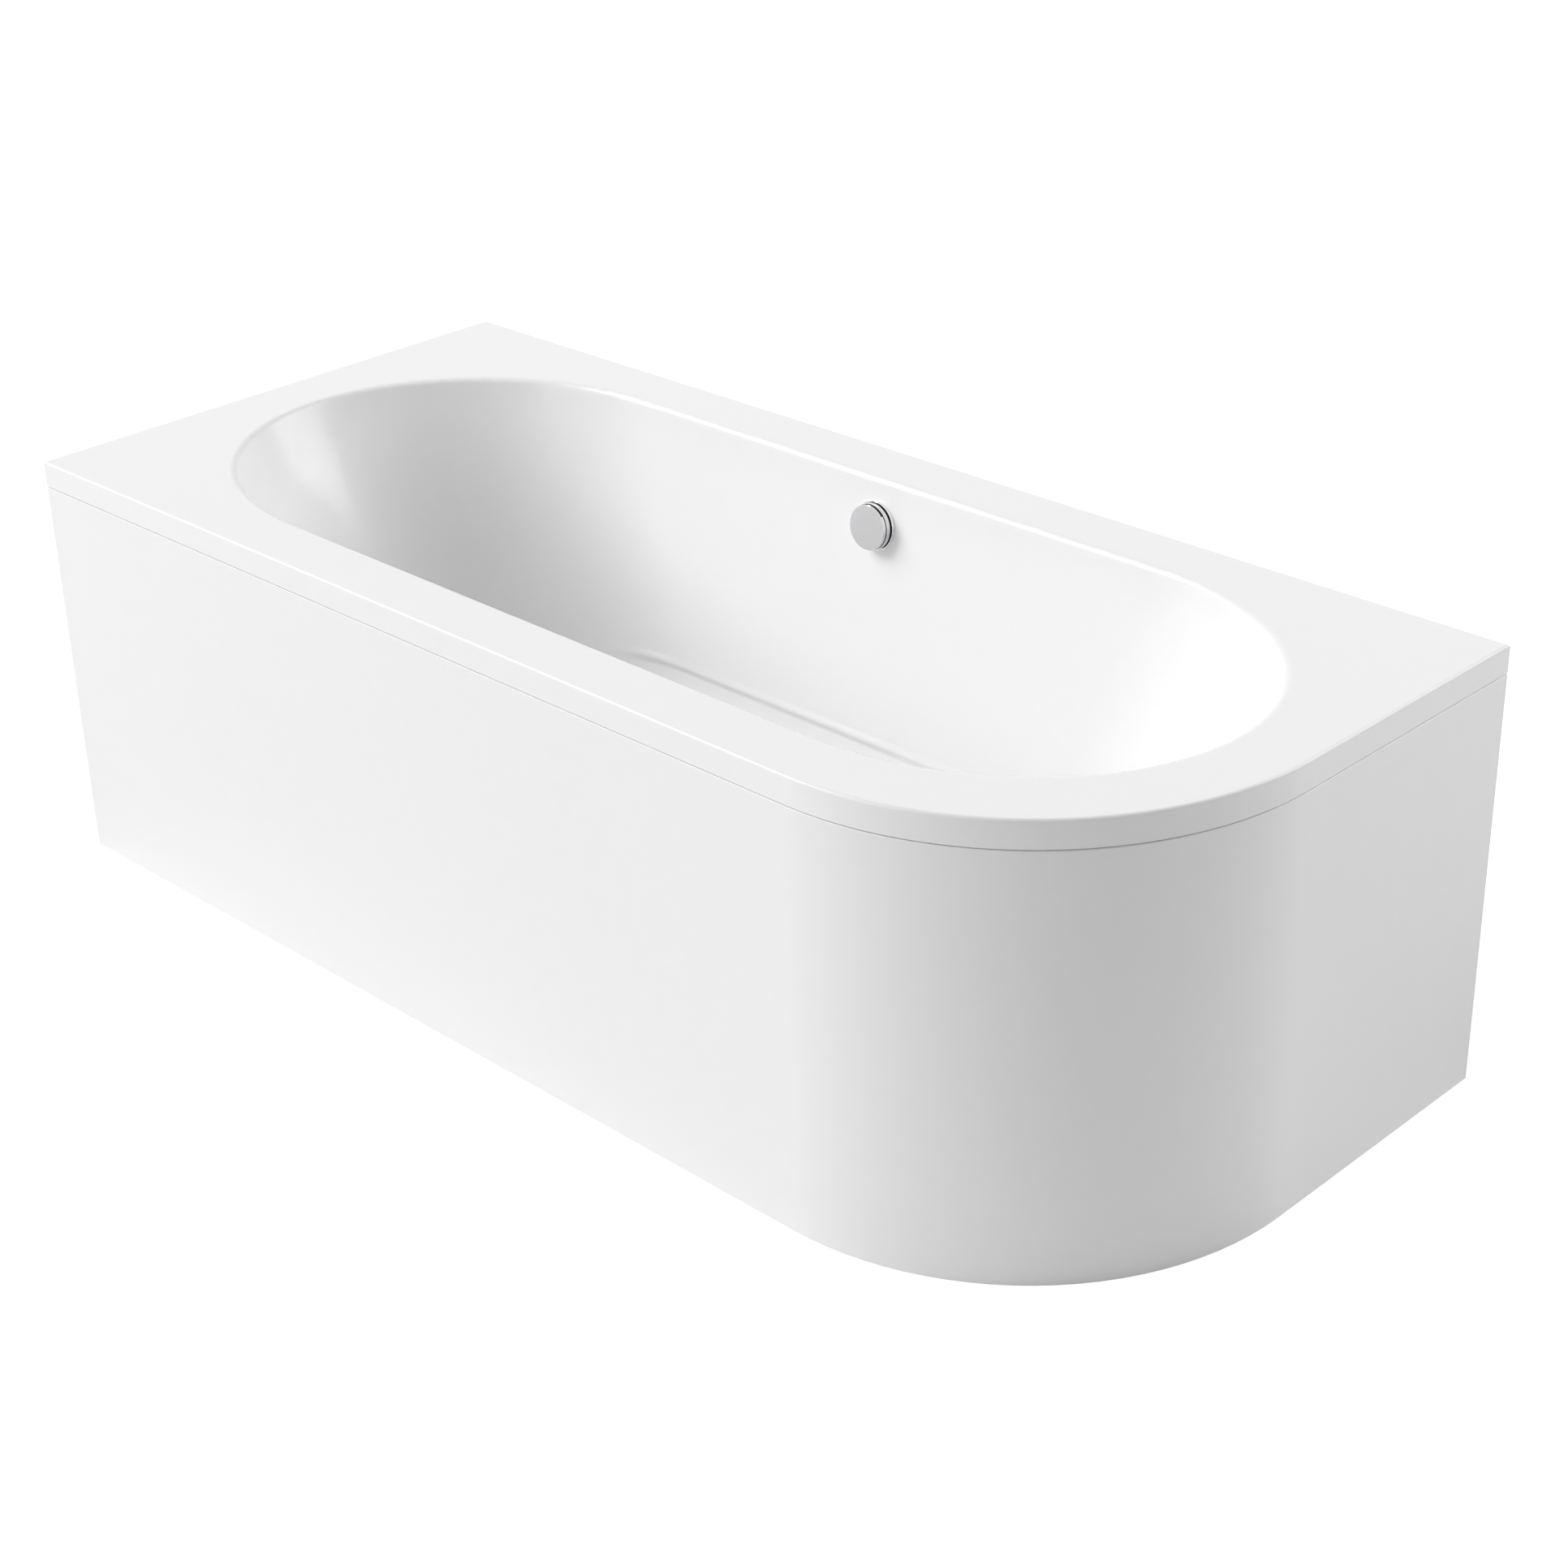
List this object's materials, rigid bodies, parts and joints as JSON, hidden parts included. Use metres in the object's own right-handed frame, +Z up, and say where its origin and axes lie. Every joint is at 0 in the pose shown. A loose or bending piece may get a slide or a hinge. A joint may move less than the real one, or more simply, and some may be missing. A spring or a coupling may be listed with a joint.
{
  "type": "corner bathtub",
  "caption": "Back-to-wall corner bathtub with a curved J-shaped panel, an oval well, a round overflow control knob, a pop-up plug and adjustable feet.",
  "frame": {"origin": "middle of the footprint on the floor", "axes": "+X along the back wall towards the rounded corner, +Y to the back wall, +Z up"},
  "size_m": [1.7, 0.75, 0.56],
  "materials": {
    "acrylic": "gloss",
    "panel": "gloss",
    "board": "matt",
    "timber": "matt",
    "channel": "satin",
    "zinc": "satin",
    "pad": "matt",
    "chrome": "polished",
    "brass": "satin",
    "moulded": "satin",
    "hose": "satin",
    "cable": "satin",
    "ferrule": "satin",
    "rubber": "matt"
  },
  "bodies": {
    "bath": {"bath_shell": "acrylic", "bath_panel": "panel", "base_board": "board", "panel_stiffeners": "timber", "rim_batten_back": "timber", "rim_batten_left": "timber", "rim_batten_front": "timber", "rim_batten_right": "timber", "cradle_left": "channel", "cradle_right": "channel", "wall_bracket_left": "zinc", "wall_bracket_right": "zinc", "bracket_screws": "zinc", "cradle_screws": "zinc", "foot_lock_nuts": "zinc", "overflow_rose": "chrome", "waste_flange": "chrome", "overflow_elbow": "moulded", "hose_nut_top": "moulded", "hose_nut_low": "moulded", "waste_body": "moulded", "cable_clip_top": "moulded", "cable_clip_low": "moulded", "overflow_hose": "hose", "control_cable": "cable", "cable_gland_top": "ferrule", "cable_gland_low": "ferrule", "overflow_seal": "rubber", "waste_seal": "rubber"},
    "knob": {"overflow_knob": "chrome", "overflow_spindle": "brass", "overflow_crank": "brass"},
    "plug": {"waste_plug": "chrome", "waste_plug_seal": "rubber"},
    "lever": {"waste_lever": "brass"},
    "foot_front_left": {"foot_stud_front_left": "zinc", "foot_pad_front_left": "pad"},
    "foot_back_left": {"foot_stud_back_left": "zinc", "foot_pad_back_left": "pad"},
    "foot_front_right": {"foot_stud_front_right": "zinc", "foot_pad_front_right": "pad"},
    "foot_back_right": {"foot_stud_back_right": "zinc", "foot_pad_back_right": "pad"}
  },
  "joints": [
    {"name": "knob_turn", "type": "hinge", "parent": "bath", "child": "knob", "pos_m": [0, 0.28304, 0.498], "axis": [0, 0.9938, -0.1115], "range_deg": [0, 90]},
    {"name": "plug_lift", "type": "slide", "parent": "bath", "child": "plug", "axis": [0, 0, 1], "range_m": [0, 0.008]},
    {"name": "lever_swing", "type": "hinge", "parent": "bath", "child": "lever", "pos_m": [0, 0.12342, 0.09828], "axis": [-1, 0, 0], "range_deg": [0, 33.3]},
    {"name": "foot_front_left_screw", "type": "slide", "parent": "bath", "child": "foot_front_left", "axis": [0, 0, -1], "range_m": [-0.01, 0.015]},
    {"name": "foot_back_left_screw", "type": "slide", "parent": "bath", "child": "foot_back_left", "axis": [0, 0, -1], "range_m": [-0.01, 0.015]},
    {"name": "foot_front_right_screw", "type": "slide", "parent": "bath", "child": "foot_front_right", "axis": [0, 0, -1], "range_m": [-0.01, 0.015]},
    {"name": "foot_back_right_screw", "type": "slide", "parent": "bath", "child": "foot_back_right", "axis": [0, 0, -1], "range_m": [-0.01, 0.015]}
  ],
  "couplings": [
    {"joint": "knob_turn", "follows": "plug_lift", "rad_per_m": 196.34},
    {"joint": "lever_swing", "follows": "plug_lift", "rad_per_m": 72.43}
  ]
}
